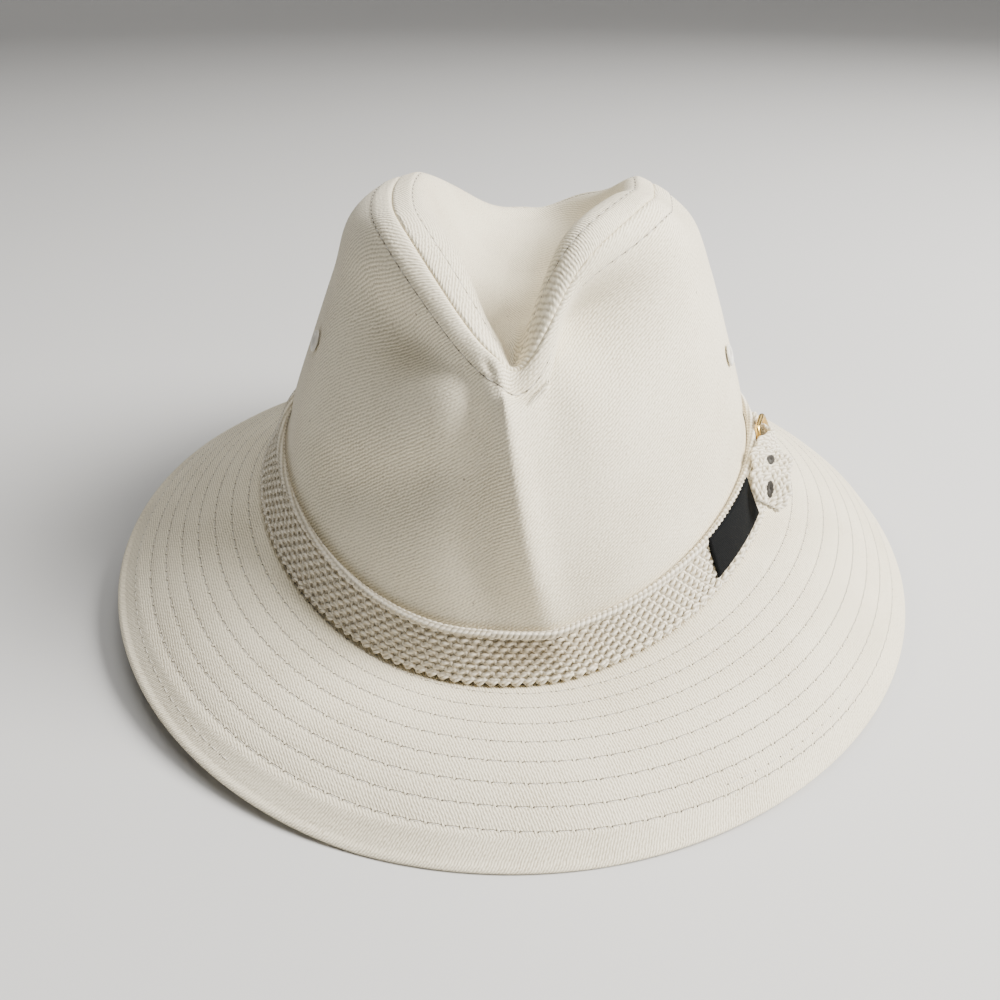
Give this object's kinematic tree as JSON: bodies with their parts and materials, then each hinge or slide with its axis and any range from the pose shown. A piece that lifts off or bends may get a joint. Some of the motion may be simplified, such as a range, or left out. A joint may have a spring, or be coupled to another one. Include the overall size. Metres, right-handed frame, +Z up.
{
  "type": "cotton fedora",
  "caption": "Cream cotton twill fedora with a pinched, dented crown, a stitched turned-down brim and a knitted band carrying a bare label, a strap and a brass buckle.",
  "frame": {"origin": "point on the resting surface under the middle of the brim's outline", "axes": "+Z up through the crown, -Y towards the front of the hat, +X towards the wearer's left"},
  "size_m": [0.2792, 0.3168, 0.1393],
  "materials": {
    "twill": "matt cream cotton twill",
    "knit": "coarse knitted cotton, off white",
    "label_cloth": "dull black woven cloth",
    "brass": "polished brass wire",
    "eyelet_enamel": "cream enamel"
  },
  "bodies": {
    "root": {"crown_side": "twill", "crown_tip": "twill", "brim": "twill", "hat_band": "knit", "band_label": "label_cloth", "band_strap": "knit", "band_buckle": "brass", "eyelet_left": "eyelet_enamel", "eyelet_right": "eyelet_enamel"}
  },
  "joints": []
}
